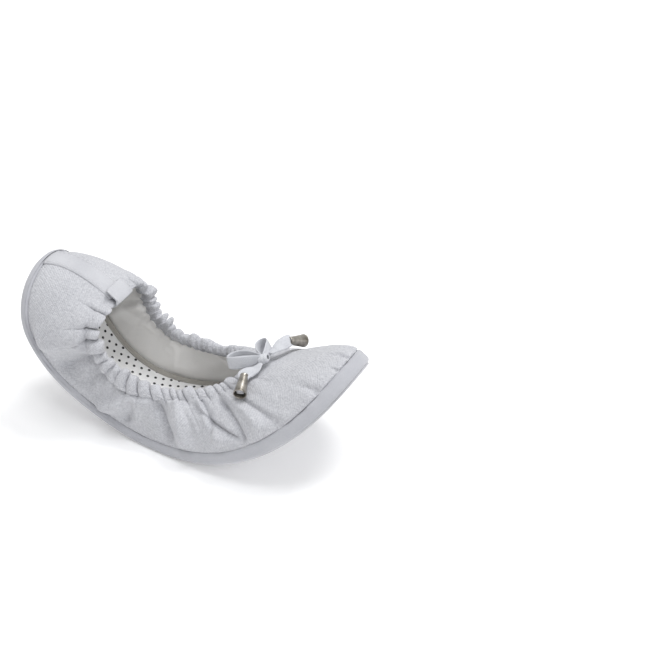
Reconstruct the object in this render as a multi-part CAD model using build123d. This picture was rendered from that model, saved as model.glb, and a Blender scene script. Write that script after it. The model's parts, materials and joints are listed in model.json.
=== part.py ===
from build123d import *
import math
import os

# Foldable ballet slipper, right foot, curled up at rest. Millimetres, +Z up, +X towards the toe.
#
# Every shape is first laid out on the flat, opened slipper: s runs along the sole (toe positive),
# t across it (+Y side positive), h up from the ground. bend() then curls that flat layout into the
# rest shape: two arcs that meet under the arch, tighter behind than in front.

# ---- sole outline and curl
HALF = 120.0                  # half the flat sole length
BALL_HALF_WIDTH = 39.5
WAIST_HALF_WIDTH = 26.0
HEEL_HALF_WIDTH = 29.5
TOE_ROUND_FROM = 58.0         # s where the toe end starts to round off
HEEL_ROUND_FROM = -88.0
TOE_CURL_RADIUS = 120.0
HEEL_CURL_RADIUS = 75.0
REST_FLAT = 0.55              # depth pressed flat where the outsole touches the ground
SPLIT_GAP = 0.3               # between the fore part and the heel part, which fold on each other

# ---- layers of the sole: heights above the ground on the flat slipper
OUTSOLE = (0.0, 1.5)
SOLE_BASE = (1.9, 2.9)
FOAM = (3.1, 5.6)
SOCK = (5.75, 6.35)
PIPING = (6.9, 8.0)
RIM_BOTTOM = 2.05
RIM_HEIGHT_MID = 6.2

# ---- layers of the upper: depths in from its outer face
UPPER_SKIN = (0.0, 0.9)
COUNTER_SKIN = (1.35, 1.95)
LINING_SKIN = (2.2, 2.8)
FULL_ROWS = (0.0, 0.25, 0.5, 0.75, 1.0)
LINING_ROWS = (0.02, 0.25, 0.5, 0.75, 0.93)
COUNTER_ROWS = (0.03, 0.25, 0.5)
UPPER_INSET = 1.0             # the upper's lower edge stands this far in from the sole outline

# ---- topline casing: a strip folded over the elastic
CASING_LENGTH = 8.2
CASING_HALF = 1.7
CASING_WALL = 0.6
CASING_MIDDLE = -0.9          # height of the casing's middle above the upper's face
ELASTIC = (6.0, 0.8)

# ---- heel trims
STRIP_WIDTH = 12.5
TAB_WIDTH = 14.5
TAB_INNER_LEG, TAB_OUTER_LEG = 8.6, 16.0
TAPE = 0.75
STRIP_INNER = -0.2             # depths of the back strip: it lies just outside the upper
STRIP_OUTER = STRIP_INNER - 0.56

# ---- bow
RIBBON_WIDTH = 6.2
RIBBON_THICKNESS = 0.8
LOOP_START = 4.4              # how far from the knot's middle a loop begins
LOOP_DROP = -2.6              # lower edge of a loop's ribbon, from the line through the knot
TIP_LENGTH = 12.5
TIP_RADII = (2.0, 3.2)
TIP_WALL = 0.45

DEG = math.pi / 180
PERIMETER_STATIONS = 17
parts = {}


# ================================================================ flat layout
def ease(x):
    x = min(max(x, 0.0), 1.0)
    return x * x * (3 - 2 * x)


def half_width(s):
    ball = ease((s + 35) / 90)
    heel = ease((-35 - s) / 55)
    width = WAIST_HALF_WIDTH
    width += (BALL_HALF_WIDTH - WAIST_HALF_WIDTH) * ball
    width += (HEEL_HALF_WIDTH - WAIST_HALF_WIDTH) * heel
    toe_end = min(max((s - TOE_ROUND_FROM) / (HALF - TOE_ROUND_FROM), 0.0), 1.0)
    heel_end = min(max((HEEL_ROUND_FROM - s) / (HALF + HEEL_ROUND_FROM), 0.0), 1.0)
    return width * math.sqrt(1 - toe_end ** 2) * math.sqrt(1 - heel_end ** 2)


def sway(s):
    """The toe of a right-foot slipper leans a little to +Y, and so does its heel."""
    lean = 1.0 if s > 0 else 2.0
    return lean * (s / HALF) ** 2


HEEL_SWAY = sway(-110)


def bend(s, t, h):
    radius = TOE_CURL_RADIUS if s > 0 else HEEL_CURL_RADIUS
    angle = s / radius
    return Vector((radius - h) * math.sin(angle), t + sway(s), radius - (radius - h) * math.cos(angle))


def outline(theta, inset=0.0):
    """Point of the sole outline, theta 0 at the toe and 180 degrees at the heel, moved inwards."""
    def at(angle):
        s = HALF * math.cos(angle)
        return s, math.copysign(half_width(s), math.sin(angle))
    s, t = at(theta)
    before, after = at(theta - 0.01), at(theta + 0.01)
    ds, dt = after[0] - before[0], after[1] - before[1]
    length = math.hypot(ds, dt)
    return s - inset * dt / length, t + inset * ds / length


def rim_height(s):
    return RIM_HEIGHT_MID + (2.3 if s > 0 else 1.7) * s / HALF


def topline(theta):
    """Edge of the foot opening; behind the heel it is drawn forwards and down by the elastic."""
    angle = theta - 0.19 * math.sin(theta)
    heel = (1 - math.cos(angle)) / 2
    drawn = math.exp(-((theta % (2 * math.pi) - math.pi) / 0.5) ** 2)
    sine = math.sin(angle)
    width = 21.5 + 6.5 * ease((heel - 0.45) / 0.4)
    t = math.copysign(width * abs(sine) ** (0.75 - 0.1 * heel), sine)
    side = (-1.3 if sine < 0 else 1.8) * abs(sine) ** 1.5
    h = 33 + 12.7 * heel ** 3 - 1.4 * (1 - heel) ** 2 - 3.9 * drawn + side
    return -24 + 83.3 * math.cos(angle) + 20.5 * drawn, t, h


def upper_point(theta, v):
    """Outer face of the upper: v 0 at the sole rim, 1 at the foot opening."""
    sr, tr = outline(theta, UPPER_INSET)
    st, tt, top = topline(theta)
    reach = math.hypot(sr - st, tr - tt)
    out_s, out_t = (sr - st) / reach, (tr - tt) / reach
    base = rim_height(sr)
    rise = top - base
    toe = ease((math.cos(theta) + 0.1) / 0.9)
    heel = ease((-math.cos(theta) - 0.2) / 0.7)
    low = 3 + 3.5 * heel - toe
    high = (0.5 + 0.12 * heel) * reach
    low_rise = (0.5 - 0.14 * toe) * rise
    high_drop = (0.06 + 0.12 * toe * abs(math.sin(theta)) + 0.03 * toe - 0.02 * heel) * rise
    points = [(sr, tr, base), (sr + out_s * low, tr + out_t * low, base + low_rise),
              (st + out_s * high, tt + out_t * high, top - high_drop), (st, tt, top)]
    weights = [(1 - v) ** 3, 3 * v * (1 - v) ** 2, 3 * v * v * (1 - v), v ** 3]
    return Vector(*[sum(w * p[k] for w, p in zip(weights, points)) for k in range(3)])


def upper_normal(theta, v):
    step = 0.004
    low, high = max(v - step, 0.0), min(v + step, 1.0)
    along = upper_point(theta + step, v) - upper_point(theta - step, v)
    up = upper_point(theta, high) - upper_point(theta, low)
    return along.cross(up).normalized()


def skin_point(theta, v, depth):
    return upper_point(theta, v) - upper_normal(theta, v) * depth


def casing_frame(theta):
    """Top point of the profile, the way up along it, and its outward normal."""
    up = (upper_point(theta, 1.0) - upper_point(theta, 0.8)).normalized()
    along = upper_point(theta + 0.01, 0.95) - upper_point(theta - 0.01, 0.95)
    return upper_point(theta, 1.0), up, along.cross(up).normalized()


def below_casing(theta, distance=CASING_LENGTH + 0.5):
    """The v where the profile is this far down from the foot opening."""
    low, high = 0.0, 1.0
    top = upper_point(theta, 1.0)
    for _ in range(30):
        middle = (low + high) / 2
        if (upper_point(theta, middle) - top).length > distance:
            low = middle
        else:
            high = middle
    return low


# ================================================================ solids from sections
def closed_wire(*paths):
    """Join paths of points into one closed polygon, leaving out points that repeat."""
    corners = []
    for point in [point for path in paths for point in path]:
        if not corners or (point - corners[-1]).length > 1e-6:
            corners.append(point)
    if (corners[0] - corners[-1]).length < 1e-6:
        corners.pop()
    return Wire.make_polygon(corners)


def loft_of(sections):
    """Straight-sided facets between closed sections: light, and neighbours on one grid never touch."""
    return Solid.make_loft([closed_wire(*section) for section in sections], ruled=True)


def stations(first, last, count):
    return [first + (last - first) * k / (count - 1) for k in range(count)]


FORE = (-90 * DEG, 90 * DEG)
HEEL = (90 * DEG, 270 * DEG)
COUNTER_SPAN = (123.75 * DEG, 236.25 * DEG)


def flat_end(theta, paths, span):
    """Move the points of an end section onto one flat cut, so that the part's end is a flat face."""
    if abs(math.sin(theta)) < 0.01:
        side = math.copysign(SPLIT_GAP / 2, math.sin(sum(span) / 2))
        return [[Vector(p.X, side + HEEL_SWAY - sway(p.X), p.Z) for p in path] for path in paths]
    cut = SPLIT_GAP / 2 if span == FORE else -SPLIT_GAP / 2
    if abs(math.cos(theta)) > 0.01:
        places = [p.X for path in paths for p in path]
        cut = sum(places) / len(places)
    return [[Vector(cut, p.Y, p.Z) for p in path] for path in paths]


def around(span, count, section):
    """Loft a section round the perimeter; section(theta) gives paths of flat (s, t, h) points."""
    sections = []
    for index, theta in enumerate(stations(*span, count)):
        paths = section(theta)
        if index in (0, count - 1):
            paths = flat_end(theta, paths, span)
        sections.append([[bend(*p) for p in path] for path in paths])
    return loft_of(sections)


def ring_paths(theta, outer, inner):
    """Paths of a section given as (inset, height) pairs round the sole outline."""
    def point(inset, height):
        s, t = outline(theta, inset)
        return Vector(s, t, height)
    return [[point(*pair) for pair in outer], [point(*pair) for pair in inner]]


# ================================================================ sole
def plate(fore, inset, heights, count=(PERIMETER_STATIONS + 1) // 2):
    """A layer of the sole: flat rectangles lofted along it, narrowing round the end."""
    low, high = heights
    quarter = stations(90 * DEG, 0, count)[:-1]
    angles = quarter if fore else [180 * DEG - theta for theta in quarter]
    side = SPLIT_GAP / 2 if fore else -SPLIT_GAP / 2
    wires = []
    for index, theta in enumerate(angles):
        s, t = outline(theta, inset)
        s = side if index == 0 else s
        corners = [(s, -t, low), (s, t, low), (s, t, high), (s, -t, high)]
        wires.append(Wire.make_polygon([bend(*c) for c in corners]))
    return Solid.make_loft(wires, ruled=True)


def sole_rim(span):
    def section(theta):
        top = rim_height(outline(theta)[0]) - 0.1
        outer = [(4.0, RIM_BOTTOM + 0.1), (1.6, RIM_BOTTOM), (0.5, 2.7), (0.0, 3.6), (0.1, top - 1.6),
                 (0.9, top - 0.5), (2.2, top), (3.4, top - 0.6), (4.0, top - 1.6)]
        return ring_paths(theta, outer, [(4.0, top - 1.6), (4.0, RIM_BOTTOM + 0.1)])
    return around(span, PERIMETER_STATIONS, section)


def insole_piping(span):
    low, high = PIPING
    arch = [(4.4, low), (4.6, high - 0.3), (5.9, high), (7.2, high - 0.3), (7.4, low)]
    return around(span, PERIMETER_STATIONS, lambda theta: ring_paths(theta, arch, [(7.4, low), (4.4, low)]))


def thread_ring(span, inset, height):
    """A sewing thread laid round the sole edge, in the groove over the outsole."""
    size = 0.3
    square = [(inset, height), (inset, height + size)]
    back = [(inset + size, height + size), (inset + size, height)]
    return around(span, PERIMETER_STATIONS, lambda theta: ring_paths(theta, square, back))


def outsole(fore):
    body = plate(fore, 0.7, OUTSOLE, count=PERIMETER_STATIONS)
    ground = Box(60, 120, 2 * REST_FLAT)
    return body - ground


# ================================================================ upper
def skin(span, depths, rows, count=PERIMETER_STATIONS):
    """A shell between two depths under the upper's face; rows are shares of the height to the casing."""
    near, far = depths

    def section(theta):
        steps = [row * below_casing(theta) for row in rows]
        outer = [skin_point(theta, v, near) for v in steps]
        inner = [skin_point(theta, v, far) for v in reversed(steps)]
        return [outer, inner]
    return around(span, count, section)


def arch_points(half, top, inner_leg, outer_leg):
    """Inverted U in the casing's own plane: (distance up, distance out) from the casing's middle."""
    return [(-outer_leg, half), (-outer_leg / 2, half), (top - half, half), (top - 0.3 * half, 0.7 * half),
            (top, 0), (top - 0.3 * half, -0.7 * half), (top - half, -half), (-inner_leg / 2, -half),
            (-inner_leg, -half)]


def arch_paths(theta, outer, inner):
    origin, up, out = casing_frame(theta)
    centre = origin + out * CASING_MIDDLE

    def points(pairs):
        return [centre + up * rise + out * off for rise, off in pairs]
    return [points(outer), points(list(reversed(inner)))]


def topline_casing(span):
    outer = arch_points(CASING_HALF, 0.0, CASING_LENGTH, CASING_LENGTH)
    inner = arch_points(CASING_HALF - CASING_WALL, -CASING_WALL, CASING_LENGTH, CASING_LENGTH)
    return around(span, PERIMETER_STATIONS, lambda theta: arch_paths(theta, outer, inner))


def topline_elastic(span):
    height, thickness = ELASTIC
    low, high = -1.3 - height, -1.3
    outer = [(low, thickness / 2), (high, thickness / 2)]
    inner = [(low, -thickness / 2), (high, -thickness / 2)]
    return around(span, PERIMETER_STATIONS, lambda theta: arch_paths(theta, outer, inner))


def casing_thread(span):
    size = 0.35
    off = CASING_HALF + 0.05
    outer = [(-CASING_LENGTH + 0.8, off + size), (-CASING_LENGTH + 0.8 + size, off + size)]
    inner = [(-CASING_LENGTH + 0.8, off), (-CASING_LENGTH + 0.8 + size, off)]
    return around(span, PERIMETER_STATIONS, lambda theta: arch_paths(theta, outer, inner))


# ================================================================ heel trims
def theta_at(t, curve, near=180 * DEG):
    """The perimeter angle near the heel where curve(theta) reaches the lateral place t."""
    low, high = near - 50 * DEG, near + 50 * DEG
    for _ in range(40):
        middle = (low + high) / 2
        if curve(middle) > t:
            low = middle
        else:
            high = middle
    return low


def bend_at(t, point):
    """A bent point held at one lateral place, so that a section across the heel is flat."""
    return bend(point.X, t + HEEL_SWAY - sway(point.X), point.Z)


def across_heel(width, paths_at):
    """Loft flat sections that each lie at one lateral place, from one edge of a tape to the other."""
    sections = []
    for t in stations(-width / 2, width / 2, 5):
        paths = paths_at(t)
        sections.append([[bend_at(t, p) for p in path] for path in paths])
    return loft_of(sections)


def back_strip():
    near, far = STRIP_INNER, STRIP_OUTER

    def paths_at(t):
        heights = stations(0.03, below_casing(180 * DEG), 7)
        angles = [theta_at(t, lambda a, v=v: upper_point(a, v).Y) for v in heights]
        outer = [skin_point(a, v, far) for a, v in zip(angles, heights)]
        inner = [skin_point(a, v, near) for a, v in zip(reversed(angles), reversed(heights))]
        return [outer, inner]
    return across_heel(STRIP_WIDTH, paths_at)


def heel_tab():
    """A tape folded over the casing, following the casing's own facets either side of the middle."""
    inside = CASING_HALF + 0.6
    outer = arch_points(inside + TAPE, 0.4 + TAPE, TAB_INNER_LEG, TAB_OUTER_LEG)
    inner = arch_points(inside, 0.4, TAB_INNER_LEG, TAB_OUTER_LEG)
    facet = (HEEL[1] - HEEL[0]) / (PERIMETER_STATIONS - 1)
    middle = arch_paths(math.pi, outer, inner)
    sections = []
    for side in (-1, 0, 1):
        t = side * TAB_WIDTH / 2
        theta = math.pi - side * facet
        share = abs(t / topline(theta)[1])
        edge = arch_paths(theta, outer, inner)
        paths = [[p + (q - p) * share for p, q in zip(m, e)] for m, e in zip(middle, edge)]
        sections.append([[bend_at(t, p) for p in path] for path in paths])
    return loft_of(sections)


def strip_thread(side):
    """The row of sewing along one edge of the back strip."""
    near = STRIP_OUTER - 0.1
    far = near - 0.3
    places = [side * (STRIP_WIDTH / 2 - 1.4), side * (STRIP_WIDTH / 2 - 1.05)]
    sections = []
    for t in places:
        heights = stations(0.06, below_casing(180 * DEG) - 0.02, 7)
        angles = [theta_at(t, lambda a, v=v: upper_point(a, v).Y) for v in heights]
        outer = [skin_point(a, v, far) for a, v in zip(angles, heights)]
        inner = [skin_point(a, v, near) for a, v in zip(reversed(angles), reversed(heights))]
        sections.append([[bend_at(t, p) for p in path] for path in (outer, inner)])
    return loft_of(sections)


# ================================================================ bow
def on_vamp(theta, v, height):
    """A bent point standing this high over the upper's face."""
    return bend(*skin_point(theta * DEG, v, -height))


KNOT = on_vamp(-2.4, 0.85, 4.2)
VAMP_UP = (KNOT - on_vamp(-2.4, 0.85, 0)).normalized()


def ribbon(route, widths, thicknesses, ups):
    """Rectangles lofted along a route of points; widths, thicknesses and ups are given per point."""
    wires = []
    for index, point in enumerate(route):
        before = route[max(index - 1, 0)]
        after = route[min(index + 1, len(route) - 1)]
        along = (after - before).normalized()
        side = along.cross(ups[index]).normalized()
        up = side.cross(along).normalized()
        half, thin = widths[index] / 2, thicknesses[index] / 2
        corners = [point - side * half - up * thin, point + side * half - up * thin,
                   point + side * half + up * thin, point - side * half + up * thin]
        wires.append(Wire.make_polygon(corners))
    return Solid.make_loft(wires, ruled=True)


def bow_loop(target, belly, lift):
    """A loop of ribbon on edge: a drop-shaped band in the plane of the vamp, as wide as the ribbon."""
    along = (target - KNOT).normalized()
    side = VAMP_UP.cross(along).normalized()
    up = along.cross(side).normalized()
    length = (target - KNOT).length

    def drop(shrink):
        reach = length - shrink
        half = belly / 2 - shrink
        root = 0.95 - shrink
        shape = [(LOOP_START, root), (0.40 * length, 0.8 * half), (0.72 * length, half),
                 (reach - 0.12 * length, 0.72 * half), (reach, 0)]
        mirrored = [(x, -y) for x, y in reversed(shape[:-1])]
        return [KNOT + along * x + side * y + up * lift for x, y in shape + mirrored]
    rise = up * RIBBON_WIDTH
    wires = []
    for base in (Vector(0, 0, 0), rise):
        outer = [p + base for p in drop(0.0)]
        inner = [p + base for p in reversed(drop(RIBBON_THICKNESS))]
        wires.append(closed_wire(outer, inner))
    return Solid.make_loft(wires, ruled=True)


def knot():
    block = Box(6.0, 6.4, 5.2)
    block = fillet(block.edges(), 2.2)
    return Plane(KNOT, x_dir=Vector(1, 0.25, 0.38), z_dir=VAMP_UP) * block


def cord_tip(start, direction):
    """A hollow bell clamped on the end of the ribbon, wider at its open end."""
    small, large = TIP_RADII
    plane = Plane(start, z_dir=direction)
    shift = Location((0, 0, TIP_LENGTH / 2))
    outer = shift * Cone(small, large, TIP_LENGTH)
    inner = shift * Cone(small - TIP_WALL, large - TIP_WALL, TIP_LENGTH)
    return plane * (outer - inner)


def tail(first, middle, start, end):
    """Ribbon tail from the knot to its metal tip, and the rolled end held inside the tip."""
    direction = (end - start).normalized()
    mouth = start - direction * 0.8
    inside = start + direction * 1.2
    last = start + direction * 8.0
    route = [first, middle, (middle + mouth) * 0.5, mouth, inside, last]
    widths = [3.4, RIBBON_WIDTH, RIBBON_WIDTH, 3.4, 2.1, 1.9]
    thicknesses = [RIBBON_THICKNESS] * 3 + [1.4, 1.6, 1.6]
    return ribbon(route, widths, thicknesses, [VAMP_UP] * len(route))


NEAR_TIP = (on_vamp(-26.2, 0.86, 4.0), on_vamp(-42, 0.67, 3.9))
FAR_TIP = (on_vamp(20, 0.70, 6.0), on_vamp(34.4, 0.57, 4.0))
NEAR_TAIL = (on_vamp(-9.2, 0.85, 3.3), on_vamp(-15, 0.86, 2.8))
FAR_TAIL = (on_vamp(5.5, 0.82, 4.3), on_vamp(10, 0.78, 5.4))
NEAR_LOOP = KNOT + Vector(-16.6, -5.0, -3.5)
FAR_LOOP = KNOT + Vector(-5.0, 12.3, -1.0)


def make_bow():
    parts["bow_knot"] = knot()
    parts["bow_loop_near"] = bow_loop(NEAR_LOOP, 8.0, LOOP_DROP)
    parts["bow_loop_far"] = bow_loop(FAR_LOOP, 6.5, LOOP_DROP)
    for name, line, tip in (("near", NEAR_TAIL, NEAR_TIP), ("far", FAR_TAIL, FAR_TIP)):
        start, end = tip
        parts["bow_tail_" + name] = tail(line[0], line[1], start, end)
        parts["cord_tip_" + name] = cord_tip(start, end - start)


# ================================================================ assembly
def make_sole():
    for name, fore, span in (("front", True, FORE), ("rear", False, HEEL)):
        parts["outsole_" + name] = outsole(fore)
        parts["sole_base_" + name] = plate(fore, 4.3, SOLE_BASE)
        parts["insole_foam_" + name] = plate(fore, 4.3, FOAM)
        parts["insole_sock_" + name] = plate(fore, 4.4, SOCK)
        parts["insole_piping_" + name] = insole_piping(span)
        parts["sole_rim_" + name] = sole_rim(span)
        parts["sole_stitching_" + name] = thread_ring(span, 0.75, 1.8)


def make_upper():
    near_half, far_half = (math.pi, HEEL[1]), (HEEL[0], math.pi)
    half_count = (PERIMETER_STATIONS + 1) // 2
    parts["upper_front"] = skin(FORE, UPPER_SKIN, FULL_ROWS)
    parts["quarter_near"] = skin(near_half, UPPER_SKIN, FULL_ROWS, half_count)
    parts["quarter_far"] = skin(far_half, UPPER_SKIN, FULL_ROWS, half_count)
    for name, span in (("front", FORE), ("rear", HEEL)):
        parts["lining_" + name] = skin(span, LINING_SKIN, LINING_ROWS)
        parts["topline_casing_" + name] = topline_casing(span)
        parts["topline_elastic_" + name] = topline_elastic(span)
        parts["casing_stitching_" + name] = casing_thread(span)


def make_heel():
    parts["heel_counter"] = skin(COUNTER_SPAN, COUNTER_SKIN, COUNTER_ROWS, 11)
    parts["back_strip"] = back_strip()
    parts["heel_tab"] = heel_tab()
    parts["back_strip_stitching"] = Compound([strip_thread(-1), strip_thread(1)])


make_sole()
make_upper()
make_heel()
make_bow()

whole = Compound([part for part in parts.values()]).bounding_box()
origin = Vector((whole.min.X + whole.max.X) / 2, (whole.min.Y + whole.max.Y) / 2, whole.min.Z)
print("origin shift", origin)

os.makedirs("parts", exist_ok=True)
for name, part in parts.items():
    export_step(Pos(-origin.X, -origin.Y, -origin.Z) * part, "parts/" + name + ".step")
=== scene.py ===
"""Foldable ballet slipper: the looks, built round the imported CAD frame.

Shapes are laid out on the flat, opened slipper in millimetres (s along the sole, t across it, h up),
curled by bend() as in the CAD model, and turned into metres in the row frame by place().
"""
import json
import math

import bmesh
import bpy
import numpy as np
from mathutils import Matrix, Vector

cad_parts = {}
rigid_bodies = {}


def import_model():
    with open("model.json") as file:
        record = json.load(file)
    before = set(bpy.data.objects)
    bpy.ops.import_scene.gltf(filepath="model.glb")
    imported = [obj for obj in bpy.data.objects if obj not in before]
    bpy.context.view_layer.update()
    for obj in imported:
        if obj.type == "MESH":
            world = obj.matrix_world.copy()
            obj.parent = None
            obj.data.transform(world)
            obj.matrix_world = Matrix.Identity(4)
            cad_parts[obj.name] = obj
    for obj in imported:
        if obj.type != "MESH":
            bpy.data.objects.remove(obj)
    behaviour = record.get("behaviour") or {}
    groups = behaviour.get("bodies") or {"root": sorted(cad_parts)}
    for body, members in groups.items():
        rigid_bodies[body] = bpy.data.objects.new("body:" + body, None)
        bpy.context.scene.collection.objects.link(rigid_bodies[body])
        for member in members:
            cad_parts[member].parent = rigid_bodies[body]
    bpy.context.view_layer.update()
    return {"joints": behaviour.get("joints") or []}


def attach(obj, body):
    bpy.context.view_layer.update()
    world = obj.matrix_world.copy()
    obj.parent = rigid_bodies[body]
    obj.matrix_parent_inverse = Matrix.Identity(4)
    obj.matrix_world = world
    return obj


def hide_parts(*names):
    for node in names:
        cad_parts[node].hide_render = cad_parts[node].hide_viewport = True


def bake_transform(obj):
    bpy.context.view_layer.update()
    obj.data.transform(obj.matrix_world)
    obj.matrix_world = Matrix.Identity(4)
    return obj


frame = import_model()

# ---------------------------------------------------------------- flat layout, as in the CAD model
HALF = 120.0
BALL_HALF_WIDTH, WAIST_HALF_WIDTH, HEEL_HALF_WIDTH = 39.5, 26.0, 29.5
TOE_ROUND_FROM, HEEL_ROUND_FROM = 58.0, -88.0
WAIST_AT, TO_BALL, TO_HEEL = -35.0, 90.0, 55.0      # the narrowest place, and how far it widens each way
TOE_CURL_RADIUS, HEEL_CURL_RADIUS = 120.0, 75.0
REST_FLAT = 0.55
CASING_LENGTH = 8.2
STEP = 0.004                   # radians, for slopes along the perimeter
FOLD = next(j for j in frame["joints"] if j["name"] == "sole_fold")
ORIGIN = np.array(FOLD["pos_m"]) - np.array([0, 0, REST_FLAT / 1000])
FORE, HEEL_BODY = FOLD["parent"], FOLD["child"]


def ease(x):
    x = np.clip(x, 0.0, 1.0)
    return x * x * (3 - 2 * x)


def half_width(s):
    width = WAIST_HALF_WIDTH + (BALL_HALF_WIDTH - WAIST_HALF_WIDTH) * ease((s - WAIST_AT) / TO_BALL)
    width = width + (HEEL_HALF_WIDTH - WAIST_HALF_WIDTH) * ease((WAIST_AT - s) / TO_HEEL)
    toe = np.clip((s - TOE_ROUND_FROM) / (HALF - TOE_ROUND_FROM), 0, 1)
    heel = np.clip((HEEL_ROUND_FROM - s) / (HALF + HEEL_ROUND_FROM), 0, 1)
    return width * np.sqrt(1 - toe ** 2) * np.sqrt(1 - heel ** 2)


def sway(s):
    """The sole's sideways curve, which makes it a right foot's."""
    return np.where(s > 0, 1.0, 2.0) * (s / HALF) ** 2


def bend(flat, slack=1.0):
    """Flat (s, t, h) points in mm to the curled rest shape in mm; slack over 1 curls them less."""
    s, t, h = flat[..., 0], flat[..., 1], flat[..., 2]
    radius = np.where(s > 0, TOE_CURL_RADIUS, HEEL_CURL_RADIUS) * slack
    angle = s / radius
    x = (radius - h) * np.sin(angle)
    z = radius - (radius - h) * np.cos(angle)
    return np.stack([x, t + sway(s), np.maximum(z, REST_FLAT)], -1)


def place(flat):
    """Flat points in mm to the row frame in metres."""
    return bend(flat) / 1000 + ORIGIN


def outline(theta, inset=0.0):
    """Edge of the flat sole at a perimeter angle, 0 at the toe, moved in by inset."""
    def at(angle):
        s = HALF * np.cos(angle)
        return s, np.copysign(half_width(s), np.sin(angle))
    s, t = at(theta)
    s0, t0 = at(theta - 0.01)
    s1, t1 = at(theta + 0.01)
    length = np.hypot(s1 - s0, t1 - t0)
    return s - inset * (t1 - t0) / length, t + inset * (s1 - s0) / length


def rim_height(s):
    return 6.2 + np.where(s > 0, 2.3, 1.7) * s / HALF


def topline(theta):
    """Edge of the foot opening; behind the heel it is drawn forwards and down by the elastic."""
    angle = theta - 0.19 * np.sin(theta)
    heel = (1 - np.cos(angle)) / 2
    drawn = np.exp(-((np.mod(theta, 2 * math.pi) - math.pi) / 0.5) ** 2)
    sine = np.sin(angle)
    width = 21.5 + 6.5 * ease((heel - 0.45) / 0.4)
    t = np.copysign(width * np.abs(sine) ** (0.75 - 0.1 * heel), sine)
    side = np.where(sine < 0, -1.3, 1.8) * np.abs(sine) ** 1.5
    h = 33 + 12.7 * heel ** 3 - 1.4 * (1 - heel) ** 2 - 3.9 * drawn + side
    return -24 + 83.3 * np.cos(angle) + 20.5 * drawn, t, h


def upper_point(theta, v):
    """Outer face of the upper: v 0 at the sole rim, 1 at the foot opening."""
    theta, v = np.broadcast_arrays(np.asarray(theta, float), np.asarray(v, float))
    sr, tr = outline(theta, 1.0)
    st, tt, top = topline(theta)
    reach = np.hypot(sr - st, tr - tt)
    out_s, out_t = (sr - st) / reach, (tr - tt) / reach
    base = rim_height(sr)
    rise = top - base
    toe = ease((np.cos(theta) + 0.1) / 0.9)
    heel = ease((-np.cos(theta) - 0.2) / 0.7)
    low = 3 + 3.5 * heel - toe
    high = (0.5 + 0.12 * heel) * reach
    drop = (0.06 + 0.12 * toe * np.abs(np.sin(theta)) + 0.03 * toe - 0.02 * heel) * rise
    rows = [(sr, tr, base), (sr + out_s * low, tr + out_t * low, base + (0.5 - 0.14 * toe) * rise),
            (st + out_s * high, tt + out_t * high, top - drop), (st, tt, top)]
    weights = [(1 - v) ** 3, 3 * v * (1 - v) ** 2, 3 * v * v * (1 - v), v ** 3]
    return np.stack([sum(w * p[k] for w, p in zip(weights, rows)) for k in range(3)], -1)


def unit(vectors):
    return vectors / (np.linalg.norm(vectors, axis=-1, keepdims=True) + 1e-12)


def upper_normal(theta, v):
    low, high = np.maximum(v - STEP, 0), np.minimum(v + STEP, 1)
    along = upper_point(theta + STEP, v) - upper_point(theta - STEP, v)
    return unit(np.cross(along, upper_point(theta, high) - upper_point(theta, low)))


def casing_frame(theta):
    """Edge of the opening, with the casing's own up and outward directions there."""
    up = unit(upper_point(theta, 1.0) - upper_point(theta, 0.8))
    along = upper_point(theta + 0.01, 0.95) - upper_point(theta - 0.01, 0.95)
    return upper_point(theta, 1.0), up, unit(np.cross(along, up))


def below_casing(theta, distance=CASING_LENGTH):
    """The v of the upper that lies this many mm from the foot opening."""
    low, high = np.zeros_like(theta), np.ones_like(theta)
    top = upper_point(theta, 1.0)
    for _ in range(24):
        middle = (low + high) / 2
        far = np.linalg.norm(upper_point(theta, middle) - top, axis=-1) > distance
        low, high = np.where(far, middle, low), np.where(far, high, middle)
    return low


# ---------------------------------------------------------------- gathers and folds
def from_heel(theta):
    """Degrees round from the middle of the heel, 180 at the toe."""
    return np.abs(np.degrees(np.mod(theta, 2 * math.pi)) - 180)


def far_side(theta):
    return ease(np.sin(theta) * 4 + 0.5)


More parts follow.
